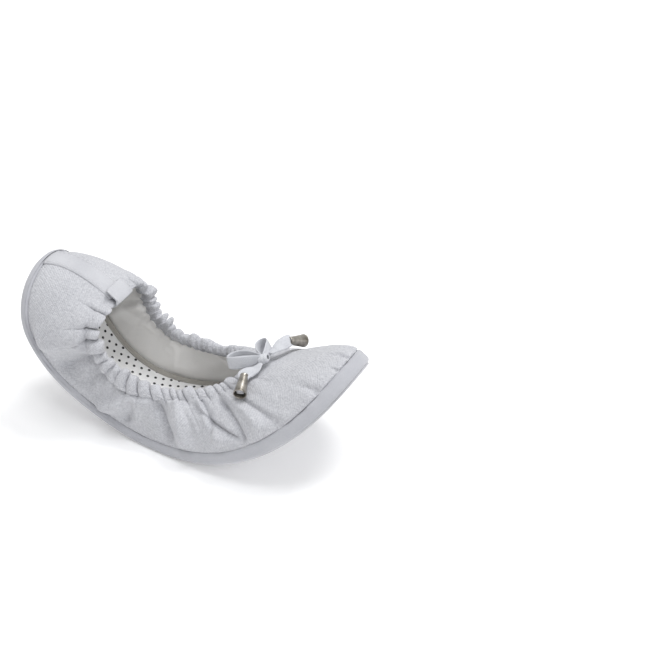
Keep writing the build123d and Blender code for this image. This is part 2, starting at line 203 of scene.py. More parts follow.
class Gathers:
    """The ruched topline: uneven pleats, each with its own height, sharpness and reach downwards.

    WIDTHS and HEIGHTS give mm at degrees from the heel, REACHES gives mm and how often each occurs.
    """
    WIDTHS = ([0, 20, 45, 70, 110, 150, 180], [9.5, 7.0, 5.8, 5.2, 4.8, 4.2, 4.6])
    HEIGHTS = ([0, 10, 19, 32, 45, 62, 110, 150, 166, 180],
               [0.15, 0.5, 4.2, 4.6, 4.0, 2.6, 2.1, 1.5, 0.5, 0.2])
    REACHES = ([3.5, 6.0, 9.0, 16.0, 30.0], [0.3, 0.28, 0.2, 0.14, 0.08])
    FLAT_UNTIL = 6.0

    def __init__(self, seed):
        rng = np.random.default_rng(seed)
        self.fine = np.linspace(0, 2 * math.pi, 2881)
        step = np.linalg.norm(np.diff(place(upper_point(self.fine, 0.95)), axis=0), axis=-1) * 1000
        self.run = np.concatenate([[0], np.cumsum(step)])
        edges = [0.0]
        while edges[-1] < self.run[-1]:
            here = np.interp(edges[-1], self.run, self.fine)
            width = np.interp(from_heel(here), *self.WIDTHS) * (1 - 0.32 * far_side(here))
            edges.append(edges[-1] + width * rng.uniform(0.68, 1.4))
        self.edges = np.array(edges[:-1] + [self.run[-1]])
        count = len(self.edges)
        self.height = rng.uniform(0.5, 1.35, count)
        self.reach = rng.choice(self.REACHES[0], count, p=self.REACHES[1])
        self.sharp = rng.uniform(0.55, 1.2, count)
        self.crest = rng.uniform(-1.0, 1.0, count)

    def pleat(self, theta, drop):
        theta = theta + np.maximum(drop - 4, 0) * 0.004 * np.sin(2.3 * theta + 1)
        at = np.interp(np.mod(theta, 2 * math.pi), self.fine, self.run)
        index = np.clip(np.searchsorted(self.edges, at, side="right") - 1, 0, len(self.edges) - 2)
        return index, (at - self.edges[index]) / (self.edges[index + 1] - self.edges[index])

    def fade(self, drop, reach):
        return np.exp(-np.maximum(drop - self.FLAT_UNTIL, 0) / reach)

    def wave(self, theta, drop):
        """How far the cloth stands out or in, in mm, this many mm below the foot opening."""
        index, across = self.pleat(theta, drop)
        shape = np.sin(math.pi * across) ** self.sharp[index] * self.height[index] - 0.42
        shared = 0.45 * (1 - ease(np.minimum(across, 1 - across) * 4))
        fade = self.fade(drop, self.reach[index]) * (1 - shared) + self.fade(drop, 9.0) * shared
        return shape * fade * np.interp(from_heel(theta), *self.HEIGHTS)

    def squeeze(self, theta, drop):
        """Shift along the topline in mm that fattens each pleat and narrows the crease beside it."""
        index, across = self.pleat(theta, drop)
        width = self.edges[index + 1] - self.edges[index]
        strength = np.minimum(np.interp(from_heel(theta), *self.HEIGHTS) / 1.6, 1.0)
        return -0.17 * width * np.sin(2 * math.pi * across) * strength * self.fade(drop, 7.0)

    def crest_lift(self, theta):
        """Each pleat's top stands a little higher or lower than the next."""
        index, across = self.pleat(theta, np.zeros_like(theta))
        return self.crest[index] * np.sin(math.pi * across) * np.interp(from_heel(theta), *self.HEIGHTS) * 0.5


GATHERS = Gathers(11)


def smooth_noise(theta, v, seed, turns, rows):
    """Soft random hills, periodic round the slipper, in about -1 to 1."""
    rng = np.random.default_rng(seed)
    total = np.zeros(np.broadcast(theta, v).shape)
    for _ in range(10):
        k = rng.integers(max(turns // 3, 1), turns + 1)
        m = rng.uniform(-rows, rows)
        total = total + np.sin(k * theta + m * math.pi * v + rng.uniform(0, 6.28)) * rng.uniform(0.3, 1)
    return total / 4.0


# Near side first. Each fold: where it meets the topline and the rim (degrees from the toe), the shares
# of the wall it starts and ends at, its half width in degrees, and its height in mm (minus for a crease).
FOLD_DEPTH = 1.25
SIDE_FOLDS = [
    (-131, -135, 0.0, 0.80, 8.0, 5.2), (-117, -123, 0.0, 0.85, 4.0, -5.4), (-110, -113, 0.1, 0.9, 3.4, -2.4),
    (-90, -107, 0.0, 0.88, 4.4, 4.4), (-95, -100, 0.0, 0.6, 2.2, -2.8), (-83, -84, 0.02, 0.9, 2.2, -3.6),
    (-76, -77, 0.0, 0.85, 3.4, 3.2), (-60, -71, 0.22, 0.95, 1.9, -3.0), (-68, -59, 0.12, 0.72, 1.8, -2.6),
    (-62, -66, 0.1, 0.9, 2.6, 2.2), (-52, -57, 0.0, 0.8, 1.9, -2.8), (-46, -52, 0.1, 0.85, 2.6, 1.9),
    (-40, -46, 0.2, 0.8, 1.8, -1.4), (-30, -38, 0.3, 0.9, 3.0, 0.5),
    (133, 134, 0.0, 0.75, 6.0, 2.2), (121, 123, 0.0, 0.85, 3.6, -2.2), (109, 112, 0.0, 0.9, 4.2, 1.9),
    (101, 99, 0.05, 0.9, 2.8, -1.9), (90, 86, 0.0, 0.85, 3.8, 1.8), (79, 78, 0.05, 0.9, 2.6, -1.8),
    (66, 71, 0.1, 0.9, 3.0, 1.6), (58, 60, 0.1, 0.85, 2.2, -1.4), (47, 51, 0.15, 0.9, 2.6, 1.0),
    (36, 42, 0.2, 0.9, 2.4, -0.6),
]


def side_folds(theta, v):
    """Long soft folds down the side walls, where the curl leaves spare cloth."""
    signed = np.degrees(np.arctan2(np.sin(theta), np.cos(theta)))
    total = np.zeros(np.broadcast(theta, v).shape)
    for number, (top, rim, low, high, width, height) in enumerate(SIDE_FOLDS):
        centre = rim + (top - rim) * v + 1.1 * np.sin(4.2 * v + 1.7 * number)
        gap = np.mod(signed - centre + 180, 360) - 180
        skew = 1 + 0.35 * np.tanh(gap / width) * (1 if number % 2 else -1)
        across = np.abs(gap) / (width * skew * (0.7 + 0.5 * v))
        power = 2.0 if height > 0 else 1.35
        ends = ease((v - low + 0.04) / 0.2) * ease((high + 0.12 - v) / 0.24)
        total = total + FOLD_DEPTH * height * np.exp(-across ** power) * ends
    return total


def toe_puckers(theta, v):
    """Short pleats that radiate from the rim round the toe, where the vamp is eased in."""
    signed = np.arctan2(np.sin(theta), np.cos(theta))
    near_toe = ease((1.15 - np.abs(signed)) / 0.35)
    wave = 0.4 - np.exp(-(np.sin(signed * 13 + 0.8 * np.sin(5 * signed)) / 0.35) ** 2)
    fade = ease((0.36 + 0.14 * np.sin(signed * 13) - v) / 0.26) * ease(v / 0.04)
    return wave * fade * near_toe * 1.7


# ---------------------------------------------------------------- meshes
def add_to_scene(name, data):
    item = bpy.data.objects.new(name, data)
    bpy.context.scene.collection.objects.link(item)
    return item


def mesh_object(name, points, faces, uvs=None):
    mesh = bpy.data.meshes.new(name)
    mesh.from_pydata([tuple(p) for p in points], [], [tuple(f) for f in faces])
    if uvs is not None:
        layer = mesh.uv_layers.new(name="UVMap")
        layer.data.foreach_set("uv", np.asarray(uvs, np.float32).ravel())
    mesh.polygons.foreach_set("use_smooth", [True] * len(mesh.polygons))
    mesh.update()
    return add_to_scene(name, mesh)


def grid_faces(rows, cols, wrap_rows, wrap_cols):
    r = np.arange(rows if wrap_rows else rows - 1)
    c = np.arange(cols if wrap_cols else cols - 1)
    r, c = np.meshgrid(r, c, indexing="ij")
    r1, c1 = (r + 1) % rows, (c + 1) % cols
    return np.stack([r * cols + c, r1 * cols + c, r1 * cols + c1, r * cols + c1], -1).reshape(-1, 4), r, c


def grid_object(name, points, wrap_rows=False, wrap_cols=False, caps=False):
    """A quad mesh from a grid of metre points, with a UV map in centimetres along each way."""
    rows, cols = points.shape[:2]
    faces, r, c = grid_faces(rows, cols, wrap_rows, wrap_cols)
    down = np.linalg.norm(np.roll(points, -1, 0) - points, axis=-1).mean(1)
    over = np.linalg.norm(np.roll(points, -1, 1) - points, axis=-1).mean(0)
    u = np.concatenate([[0], np.cumsum(down)]) * 100
    w = np.concatenate([[0], np.cumsum(over)]) * 100
    corners = [(u[r], w[c]), (u[r + 1], w[c]), (u[r + 1], w[c + 1]), (u[r], w[c + 1])]
    uvs = np.stack([np.stack(pair, -1) for pair in corners], 2).reshape(-1, 2)
    face_list = faces.tolist()
    if caps:
        first = list(range(cols))[::-1]
        last = [(rows - 1) * cols + k for k in range(cols)]
        face_list += [first, last]
        uvs = np.concatenate([uvs, np.zeros((2 * cols, 2))])
    return mesh_object(name, points.reshape(-1, 3), face_list, uvs)


def outward(piece):
    """Make every face of a closed piece look outwards."""
    bm = bmesh.new()
    bm.from_mesh(piece.data)
    bmesh.ops.recalc_face_normals(bm, faces=bm.faces)
    bm.to_mesh(piece.data)
    bm.free()
    piece.data.update()
    return piece


def between(a, b, c, d, x):
    """Smooth curve from b to c, x from 0 to 1, with a before them and d after."""
    return 0.5 * (2 * b + (c - a) * x + (2 * a - 5 * b + 4 * c - d) * x ** 2
                  + (3 * b - a - 3 * c + d) * x ** 3)


def curve_through(points, count):
    """Smooth open curve through a few points, evenly spaced by length."""
    points = np.asarray(points, float)
    padded = np.vstack([2 * points[0] - points[1], points, 2 * points[-1] - points[-2]])
    dense = []
    for k in range(len(points) - 1):
        for x in np.linspace(0, 1, 24, endpoint=False):
            dense.append(between(*padded[k:k + 4], x))
    dense = np.vstack(dense + [points[-1]])
    run = np.concatenate([[0], np.cumsum(np.linalg.norm(np.diff(dense, axis=0), axis=-1))])
    even = np.linspace(0, run[-1], count)
    return np.stack([np.interp(even, run, dense[:, k]) for k in range(dense.shape[1])], -1)


def closed_loft(name, sections):
    """Torus-like closed piece from closed sections round the slipper, shape (around, section, 3)."""
    return outward(grid_object(name, sections, wrap_rows=True, wrap_cols=True))


# ---------------------------------------------------------------- materials
class Nodes:
    """A small helper to write node trees in short lines."""

    def __init__(self, name):
        self.material = bpy.data.materials.new(name)
        self.material.use_nodes = True
        self.tree = self.material.node_tree
        self.shader = self.tree.nodes["Principled BSDF"]

    def add(self, kind, inputs=None, **settings):
        node = self.tree.nodes.new(kind)
        for key, value in settings.items():
            setattr(node, key, value)
        return self.fill(node, inputs or {})

    def fill(self, node, inputs):
        for key, value in inputs.items():
            self.put(node.inputs[key], value)
        return node

    def put(self, socket, value):
        if isinstance(value, bpy.types.NodeSocket):
            self.tree.links.new(value, socket)
        else:
            socket.default_value = value

    def math(self, operation, a, b=0.0):
        return self.add("ShaderNodeMath", {0: a, 1: b}, operation=operation).outputs[0]

    def mixed(self, *shares, plus=0.0):
        """Sum of (value, factor) pairs, plus a constant."""
        total = None
        for value, factor in shares:
            part = self.math("MULTIPLY", value, factor)
            total = part if total is None else self.math("ADD", total, part)
        return self.math("ADD", total, plus) if plus else total

    def noise(self, vector, scale, detail=3.0, rough=0.55):
        node = self.add("ShaderNodeTexNoise", {"Vector": vector, "Scale": scale, "Detail": detail,
                                               "Roughness": rough})
        return node.outputs["Fac"]

    def ramp(self, value, stops):
        node = self.add("ShaderNodeValToRGB", {"Fac": value})
        for index, (position, color) in enumerate(stops):
            elements = node.color_ramp.elements
            element = elements[index] if index < 2 else elements.new(position)
            element.position = position
            element.color = (*color, 1.0)
        return node.outputs["Color"]

    def uv(self):
        return self.add("ShaderNodeUVMap", uv_map="UVMap").outputs["UV"]

    def object(self):
        return self.add("ShaderNodeTexCoord").outputs["Object"]

    def bump(self, height, strength, distance, before=None):
        under = {} if before is None else {"Normal": before}
        inputs = {"Height": height, "Strength": strength, "Distance": distance, **under}
        return self.add("ShaderNodeBump", inputs).outputs["Normal"]

    def surface(self, inputs):
        self.fill(self.shader, inputs)
        return self.material


def weave_height(n, uv, pitch_mm):
    """Over-and-under threads of a plain weave; the UV map is in centimetres."""
    scale = 10.0 / pitch_mm
    mapped = n.add("ShaderNodeMapping", {"Vector": uv, "Scale": (scale, scale, 1)})
    split = n.add("ShaderNodeSeparateXYZ", {"Vector": mapped.outputs["Vector"]})
    x = n.math("SINE", n.math("MULTIPLY", split.outputs["X"], 2 * math.pi))
    y = n.math("SINE", n.math("MULTIPLY", split.outputs["Y"], 2 * math.pi))
    return n.math("ADD", n.math("MULTIPLY", n.math("MULTIPLY", x, y), 0.5), 0.5)


def cloth(name, light, dark, pitch=0.8, weave_depth=0.00012, sheen=0.35, fuzz=0.00008,
          patch_scale=55.0, flecks=0.3, grain_scale=640.0):
    """Woven cloth: thread bump, fine fuzz, and flecks and patches of a light and a darker tone."""
    n = Nodes(name)
    where = n.object()
    threads = weave_height(n, n.uv(), pitch)
    patches = n.noise(where, patch_scale, 4.0)
    grain = n.noise(where, grain_scale, 3.0)
    fleck = n.noise(where, 1.9 * grain_scale, 2.0)
    tone = n.mixed((patches, 0.85 - flecks), (threads, 0.2), (fleck, flecks))
    return n.surface({
        "Base Color": n.ramp(tone, [(0.25, dark), (0.8, light)]),
        "Roughness": n.mixed((grain, 0.12), plus=0.82),
        "Normal": n.bump(grain, 0.6, fuzz, n.bump(threads, 0.8, weave_depth)),
        "Sheen Weight": sheen, "Sheen Roughness": 0.5, "Specular IOR Level": 0.25,
    })


DOT_PITCH, DOT_TURN = 4.4, math.radians(-24.6)
DOT_EDGE = (0.165, 0.2)        # radius of a dot, inside and outside its soft edge, as a share of the pitch


def dotted_cloth(name):
    """Insole cover: off-white cloth with a square lattice of black pin dots."""
    n = Nodes(name)
    uv = n.uv()
    threads = weave_height(n, uv, 0.7)
    grain = n.noise(n.object(), 700.0, 2.0)
    turned = n.add("ShaderNodeMapping", {"Vector": uv, "Rotation": (0, 0, DOT_TURN),
                                         "Scale": (10 / DOT_PITCH, 10 / DOT_PITCH, 1)})
    split = n.add("ShaderNodeSeparateXYZ", {"Vector": turned.outputs["Vector"]})
    x = n.math("SUBTRACT", n.math("FRACT", split.outputs["X"]), 0.5)
    y = n.math("SUBTRACT", n.math("FRACT", split.outputs["Y"]), 0.5)
    away = n.math("SQRT", n.math("ADD", n.math("MULTIPLY", x, x), n.math("MULTIPLY", y, y)))
    wobble = n.math("MULTIPLY", n.math("SUBTRACT", grain, 0.5), 0.05)
    dot = n.ramp(n.math("ADD", away, wobble), [(DOT_EDGE[0], (1, 1, 1)), (DOT_EDGE[1], (0, 0, 0))])
    ground = n.ramp(n.mixed((threads, 0.4), (grain, 0.6)),
                    [(0.2, (0.86, 0.855, 0.85)), (0.85, (0.96, 0.955, 0.95))])
    printed = n.add("ShaderNodeMix", {"Factor": dot}, data_type="RGBA")
    first, second = [socket for socket in printed.inputs if socket.type == "RGBA"]
    n.put(first, ground)
    n.put(second, (0.012, 0.012, 0.013, 1))
    return n.surface({
        "Base Color": next(socket for socket in printed.outputs if socket.type == "RGBA"),
        "Roughness": n.mixed((grain, 0.15), plus=0.78),
        "Normal": n.bump(threads, 0.6, 0.0001), "Sheen Weight": 0.2,
    })


def pewter(name):
    """Plated cord tips: darkened nickel with fine scratches and patches of patina."""
    n = Nodes(name)
    where = n.object()
    stretched = n.add("ShaderNodeMapping", {"Vector": where, "Scale": (1, 1, 6)})
    scratch = n.noise(stretched.outputs["Vector"], 900.0, 4.0, 0.7)
    stain = n.noise(where, 260.0, 3.0)
    return n.surface({
        "Base Color": n.ramp(stain, [(0.3, (0.20, 0.18, 0.15)), (0.7, (0.58, 0.55, 0.50))]),
        "Roughness": n.mixed((scratch, 0.25), plus=0.22),
        "Normal": n.bump(scratch, 0.35, 0.00008), "Metallic": 1.0,
    })


def suede_sole(name):
    """Outsole: pale grey rubbery suede, scuffed a little darker, with a fine pebbled grain."""
    n = Nodes(name)
    where = n.object()
    cell = n.add("ShaderNodeTexVoronoi", {"Vector": where, "Scale": 700.0}).outputs["Distance"]
    scuff = n.noise(where, 38.0, 5.0, 0.65)
    return n.surface({
        "Base Color": n.ramp(scuff, [(0.3, (0.50, 0.50, 0.52)), (0.7, (0.66, 0.66, 0.69))]),
        "Roughness": n.mixed((scuff, 0.2), plus=0.7), "Normal": n.bump(cell, 0.5, 0.00025),
    })


CLOTHS = {      # light tone, dark tone, and what differs from cloth()'s usual settings
    "canvas": ((0.66, 0.665, 0.69), (0.36, 0.365, 0.395),
               {"pitch": 1.25, "weave_depth": 0.00016, "fuzz": 0.0011, "flecks": 0.66, "grain_scale": 560.0}),
    "rim": ((0.50, 0.505, 0.53), (0.39, 0.395, 0.43),
            {"pitch": 0.6, "weave_depth": 0.00006, "patch_scale": 80}),
    "tape": ((0.62, 0.625, 0.65), (0.44, 0.445, 0.475), {"pitch": 0.7}),
    "ribbon": ((0.70, 0.71, 0.74), (0.50, 0.51, 0.55), {"pitch": 0.95, "weave_depth": 0.00022, "sheen": 0.5}),
    "lining": ((0.94, 0.93, 0.91), (0.83, 0.82, 0.80),
               {"pitch": 0.6, "weave_depth": 0.00006, "patch_scale": 40}),
    "piping": ((0.47, 0.45, 0.41), (0.33, 0.315, 0.285), {"pitch": 0.5, "weave_depth": 0.00008}),
    "foam": ((0.78, 0.76, 0.70), (0.62, 0.60, 0.55), {"pitch": 0.5}),
    "felt": ((0.58, 0.57, 0.54), (0.40, 0.39, 0.37), {"pitch": 1.2, "fuzz": 0.0002}),
    "thread": ((0.82, 0.82, 0.84), (0.55, 0.55, 0.58), {"pitch": 0.3}),
    "elastic": ((0.80, 0.80, 0.78), (0.60, 0.60, 0.58), {"pitch": 0.9}),
}
MATERIALS = {}


def make_materials():
    for name, (light, dark, settings) in CLOTHS.items():
        MATERIALS[name] = cloth(name + "_cloth", light, dark, **settings)
    MATERIALS["dots"] = dotted_cloth("insole_dots")
    MATERIALS["metal"] = pewter("tip_metal")
    MATERIALS["sole"] = suede_sole("sole_suede")


def dress(piece, material, slot, *nodes):
    piece.data.materials.clear()
    piece.data.materials.append(MATERIALS[material])
    if nodes:
        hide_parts(*nodes)
    return piece


def halves(stem):
    """Names of the front and rear half of a CAD piece."""
    return stem + "_front", stem + "_rear"


def across_fold(piece):
    """A piece that runs across the fold; its placement is baked into its mesh, and it rides on no body."""
    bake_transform(piece)
    return piece


# ---------------------------------------------------------------- upper
def all_round(name, sections, material, slot, *nodes):
    """A closed piece that runs right round the slipper."""
    return across_fold(dress(closed_loft(name, sections), material, slot, *nodes))


AROUND = 900
THETA = np.linspace(0, 2 * math.pi, AROUND, endpoint=False)


def body_folds(theta, v):
    calm = np.interp(from_heel(theta), [0, 25, 48, 150, 165, 180], [0.1, 0.3, 1, 1, 0.3, 0.2])
    soft = 0.38 * smooth_noise(theta, v, 5, 30, 6.0) * ease((v - 0.03) / 0.25)
    return side_folds(theta, v) * ease(v / 0.12) + soft * (0.25 + 0.75 * calm)


def drop_below(theta, v):
    return np.linalg.norm(upper_point(theta, v) - upper_point(theta, 1.0), axis=-1)


def upper_offset(theta, v):
    """How far the cloth stands off the smooth shell, in mm."""
    drop = drop_below(theta, v)
    under = ease((11 - drop) / 4)
    gathers = GATHERS.wave(theta, drop) * ease((v - 0.03) / 0.25)
    tuck = -0.3 * np.exp(-(v / 0.015) ** 2)
    return gathers + body_folds(theta, v) * (1 - under) + toe_puckers(theta, v) - 0.35 * under + tuck


SIM_FRAMES = 24
SLACK = 1.4                    # the cloth's own rest shape is curled this much more loosely
SIM_LIMIT = 0.0035             # metres that any point may move


def double_rows(values):
    """Twice as fine along the first axis, with smooth midpoints between the old rows."""
    before, after = np.roll(values, 1, 0), np.roll(values, -1, 0)
    beyond = np.roll(values, -2, 0)
    middle = (9 * values + 9 * after - before - beyond) / 16
    return np.stack([values, middle], 1).reshape(-1, *values.shape[1:])


def double_columns(values):
    padded = np.concatenate([values[:, :1], values, values[:, -1:]], 1)
    middle = (9 * padded[:, 1:-2] + 9 * padded[:, 2:-1] - padded[:, :-3] - padded[:, 3:]) / 16
    out = np.zeros((values.shape[0], 2 * values.shape[1] - 1, 3))
    out[:, ::2], out[:, 1::2] = values, middle
    return out


CLOTH_SETTINGS = {
    "quality": 7, "mass": 0.02, "air_damping": 3.0, "tension_stiffness": 12.0, "compression_stiffness": 12.0,
    "shear_stiffness": 4.0, "bending_stiffness": 0.35, "tension_damping": 6.0, "compression_damping": 6.0,
    "shear_damping": 6.0, "vertex_group_mass": "held", "pin_stiffness": 1.0,
}


def settle_cloth(flat, drop):
    """Let the upper find its own folds: cloth cut for the opened slipper, held at the rim and topline.

    The sheet starts curled, while its springs remember a longer, more open shape, so it buckles.
    """
    count, rows = flat.shape[:2]
    start = place(flat)
    sheet = mesh_object("cut_cloth", start.reshape(-1, 3), grid_faces(count, rows, True, False)[0].tolist())
    sheet.shape_key_add(name="curled")
    loose = sheet.shape_key_add(name="as_cut")
    opened = bend(flat, SLACK) / 1000 + ORIGIN
    loose.data.foreach_set("co", opened.astype(np.float32).ravel())
    held = sheet.vertex_groups.new(name="held")
    row = np.arange(count * rows) % rows
    hold = np.maximum(np.where(row < 2, 1.0, 0.0), ease((13 - drop.ravel()) / 5))
    for index in np.nonzero(hold > 0.01)[0]:
        held.add([int(index)], float(hold[index]), "REPLACE")
    folds = sheet.modifiers.new("folds", "CLOTH")
    for name, value in CLOTH_SETTINGS.items():
        setattr(folds.settings, name, value)
    folds.settings.rest_shape_key = loose
    folds.settings.effector_weights.gravity = 0.0
    folds.collision_settings.use_collision = False
    folds.collision_settings.use_self_collision = False
    folds.point_cache.frame_start, folds.point_cache.frame_end = 1, SIM_FRAMES
    scene = bpy.context.scene
    for frame_number in range(1, SIM_FRAMES + 1):
        scene.frame_set(frame_number)
    settled = sheet.evaluated_get(bpy.context.evaluated_depsgraph_get()).to_mesh()
    ended = np.zeros(len(settled.vertices) * 3, np.float32)
    settled.vertices.foreach_get("co", ended)
    scene.frame_set(1)
    bpy.data.objects.remove(sheet, do_unlink=True)
    shift = ended.reshape(count, rows, 3) - start
    size = np.linalg.norm(shift, axis=-1, keepdims=True)
    return shift * np.minimum(1, SIM_LIMIT / (size + 1e-9))


UPPER_ROWS = 95
CLOTH_THICKNESS = 0.8
SHIFT = {}                     # the simulated move of the upper, which the lining follows


def make_upper():
    top_v = below_casing(THETA, CASING_LENGTH - 2.0)[:, None]
    v = np.linspace(0, 1, UPPER_ROWS)[None, :] * top_v
    theta = np.broadcast_to(THETA[:, None], v.shape)
    normal = upper_normal(theta, v)
    outer = upper_point(theta, v) + normal * upper_offset(theta, v)[..., None]
    along = unit(upper_point(theta + STEP, v) - upper_point(theta - STEP, v))
    drop = drop_below(theta, v)
    outer = outer + along * (GATHERS.squeeze(theta, drop) * ease(v / 0.3))[..., None]
    shift = np.zeros_like(outer)
    shift = double_columns(double_rows(settle_cloth(outer[::2, ::2], drop[::2, ::2])))
    SHIFT["upper"] = shift
    inner_rows = np.linspace(UPPER_ROWS - 1, 0, 24).astype(int)
    inner = outer[:, inner_rows] - normal[:, inner_rows] * CLOTH_THICKNESS
    points = np.concatenate([place(outer) + shift, place(inner) + shift[:, inner_rows]], 1)
    return all_round("upper_canvas", points,
                     "canvas", "canvas", "upper_front", "quarter_near", "quarter_far")


# Section of the casing: (mm up from the foot opening, mm out from the upper's face).
CASING_PROFILE = [(-8.9, -0.9), (-8.5, -0.15), (-7.4, 0.15), (-5.0, 0.95), (-2.2, 1.25), (-0.2, 0.75),
                  (0.7, -0.9), (-0.1, -2.7), (-2.2, -3.4), (-5.0, -3.4), (-7.6, -3.0), (-8.6, -2.4)]
ELASTIC_PROFILE = [(-7.0, -0.5), (-1.6, -0.5), (-1.6, -1.3), (-7.0, -1.3)]


def make_casing():
    profile = curve_through(CASING_PROFILE, 64)
    inner = curve_through([(a * 0.93 - 0.5, (b + 0.9) * 0.62 - 0.9) for a, b in CASING_PROFILE[::-1]], 24)
    a, b = np.vstack([profile, inner]).T[:, None, :]
    origin, up, out = casing_frame(THETA)
    theta = np.broadcast_to(THETA[:, None], (AROUND, a.shape[1]))
    drop = np.broadcast_to(np.maximum(-a, 0), theta.shape)
    wave = GATHERS.wave(theta, drop)
    side = np.tanh((b + 0.9) * 1.4)
    crest = np.exp(-(a / 2.4) ** 2)
    a = a + GATHERS.crest_lift(theta) * crest + 0.35 * wave * crest
    b = b + wave * (0.85 + 0.15 * side) + 0.25 * np.maximum(wave, 0) * side
    along = unit(np.cross(up, out))[:, None]
    points = origin[:, None] + up[:, None] * a[..., None] + out[:, None] * b[..., None]
    points = points + along * GATHERS.squeeze(theta, drop)[..., None]
    return all_round("topline_casing", place(points), "canvas", "canvas", *halves("topline_casing"))


def make_elastic():
    origin, up, out = casing_frame(THETA[::3])
    a, b = np.array(ELASTIC_PROFILE).T[:, None, :, None]
    return all_round("topline_elastic", place(origin[:, None] + up[:, None] * a + out[:, None] * b),
                     "elastic", "elastic", *halves("topline_elastic"))


LINING_ROWS, LINING_DEPTH, LINING_THICKNESS = 44, 2.75, 0.7


def make_lining():
    """The lining wrinkles by itself, and steps inwards where the upper's creases come in."""
    angles = THETA[::2]
    v = np.linspace(0, 1, LINING_ROWS)[None, :] * below_casing(angles, 7.0)[:, None]
    theta = np.broadcast_to(angles[:, None], v.shape)
    shell, normal, drop = upper_point(theta, v), upper_normal(theta, v), drop_below(theta, v)
    wrinkle = np.maximum(smooth_noise(theta, v, 33, 24, 5.0), 0)
    wrinkle = wrinkle * ease((v - 0.08) / 0.2) * ease((drop - 9) / 5)
    gathers = GATHERS.wave(theta, drop) * ease((v - 0.03) / 0.25)
    outside = body_folds(theta, v) * ease((drop - 7) / 4) + gathers
    follow = np.minimum(outside, 0) + 0.35 * np.maximum(outside, 0)
    depth = LINING_DEPTH + 1.7 * wrinkle - follow
    face = shell - normal * depth[..., None]
    back = (shell - normal * (depth - LINING_THICKNESS)[..., None])[:, ::-3]
    shift = SHIFT["upper"][::2, np.round(np.linspace(0, UPPER_ROWS - 1, LINING_ROWS)).astype(int)]
    points = np.concatenate([place(face) + shift, place(back) + shift[:, ::-3]], 1)
    return all_round("lining_cloth", points, "lining", "lining", *halves("lining"))


COUNTER_SPAN, COUNTER_DEPTHS = np.radians((131, 229)), (1.1, 1.75)


def make_counter():
    """The stiffener between upper and lining round the heel."""
    angles = np.linspace(*COUNTER_SPAN, 90)
    v = np.linspace(0.03, 0.5, 20)[None, :] * below_casing(angles)[:, None]
    theta = np.broadcast_to(angles[:, None], v.shape)
    outer, inner = [upper_point(theta, v) - upper_normal(theta, v) * depth for depth in COUNTER_DEPTHS]
    points = place(np.concatenate([outer, inner[:, ::-1]], 1))
    piece = outward(grid_object("heel_counter_felt", points, wrap_cols=True, caps=True))
    dress(piece, "felt", "sole_base", "heel_counter")
    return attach(piece, HEEL_BODY)


# ---------------------------------------------------------------- sole
def ring(theta, inset, height):
    """Points round the sole outline, moved in by inset, at this height."""
    s, t = outline(theta, inset)
    return np.stack([s, t, np.broadcast_to(height, s.shape)], -1)


# Section of the rim in mm: (inset, height over the floor), then (inset, height over the rim's top).
RIM_FOOT = [(4.2, 2.3), (2.6, 1.6), (1.5, 1.15), (0.6, 1.3), (0.0, 2.4), (-0.1, 3.9)]
RIM_TOP = [(0.0, -1.5), (0.45, -0.6), (1.2, -0.05), (2.2, 0.1), (3.2, -0.4), (4.0, -1.6)]


def make_rim():
    """The cloth-covered edge of the sole: a soft band, a little lumpy, tucked under the upper."""
    s = outline(THETA)[0]
    top, level = rim_height(s), 0 * THETA
    lump = 0.16 * smooth_noise(THETA, level, 41, 60, 0.0) + 0.2 * smooth_noise(THETA, level, 42, 14, 0.0)
    sag = 0.21 * np.exp(-((s + 25) / 32) ** 2) * np.sin(THETA * 24)
    stretch = 0.85 + 0.15 * top / 6.2
    columns = [ring(THETA, inset, 1.9 + (height - 1.9) * stretch) for inset, height in RIM_FOOT]
    columns += [ring(THETA, inset - lump * 0.8, top + drop + lump + sag) for inset, drop in RIM_TOP]
    section = np.stack(columns, 1)
    neighbours = [np.roll(section, shift, 1) for shift in (1, 0, -1, -2)]
    dense = np.stack([between(*neighbours, x) for x in (0.0, 0.25, 0.5, 0.75)], 2)
    return all_round("sole_rim_band", place(dense.reshape(AROUND, -1, 3)),
                     "rim", "rim_cloth", *halves("sole_rim"))


def plate_points(inset, low, high, crown, stations=240, across=60):
    """A closed sole layer: rows along the sole, each a loop over the top face and back underneath."""
    s, t = outline(np.linspace(0.02, math.pi - 0.02, stations), inset)
    lateral = np.cos(np.linspace(math.pi, 0, across))[None, :]
    rows_t = t[:, None] * lateral
    rows_s = np.broadcast_to(s[:, None], rows_t.shape)
    top = np.broadcast_to(high - 0.35 * np.abs(lateral) ** 8 + crown * (1 - lateral ** 2), rows_t.shape)
    bottom = np.full_like(rows_t, low)
    return np.concatenate([np.stack([rows_s, rows_t, top], -1),
                           np.stack([rows_s, rows_t, bottom], -1)[:, ::-1]], 1)


# piece, material, slot, CAD piece, inset, lowest and highest, height of the middle over the edge
SOLE_LAYERS = [
    ("outsole_sheet", "sole", "outsole", "outsole", 1.9, (0.0, 1.5), 0.0),
    ("sole_base_felt", "felt", "sole_base", "sole_base", 4.3, (1.9, 2.9), 0.0),
    ("insole_foam_pad", "foam", "foam", "insole_foam", 4.3, (3.1, 7.0), -1.4),
    ("insole_cover", "dots", "insole_cloth", "insole_sock", 4.0, (5.75, 7.9), -1.5),
]


def make_sole():
    for name, material, slot, stem, inset, heights, crown in SOLE_LAYERS:
        flat = plate_points(inset, *heights, crown)
        piece = outward(grid_object(name, place(flat), wrap_cols=True, caps=True))
        corners = np.zeros(len(piece.data.loops), np.int32)
        piece.data.loops.foreach_get("vertex_index", corners)
        plan = flat.reshape(-1, 3)[corners][:, :2] / 10
        piece.data.uv_layers["UVMap"].data.foreach_set("uv", plan.astype(np.float32).ravel())
        dress(piece, material, slot, *halves(stem))
        across_fold(piece)


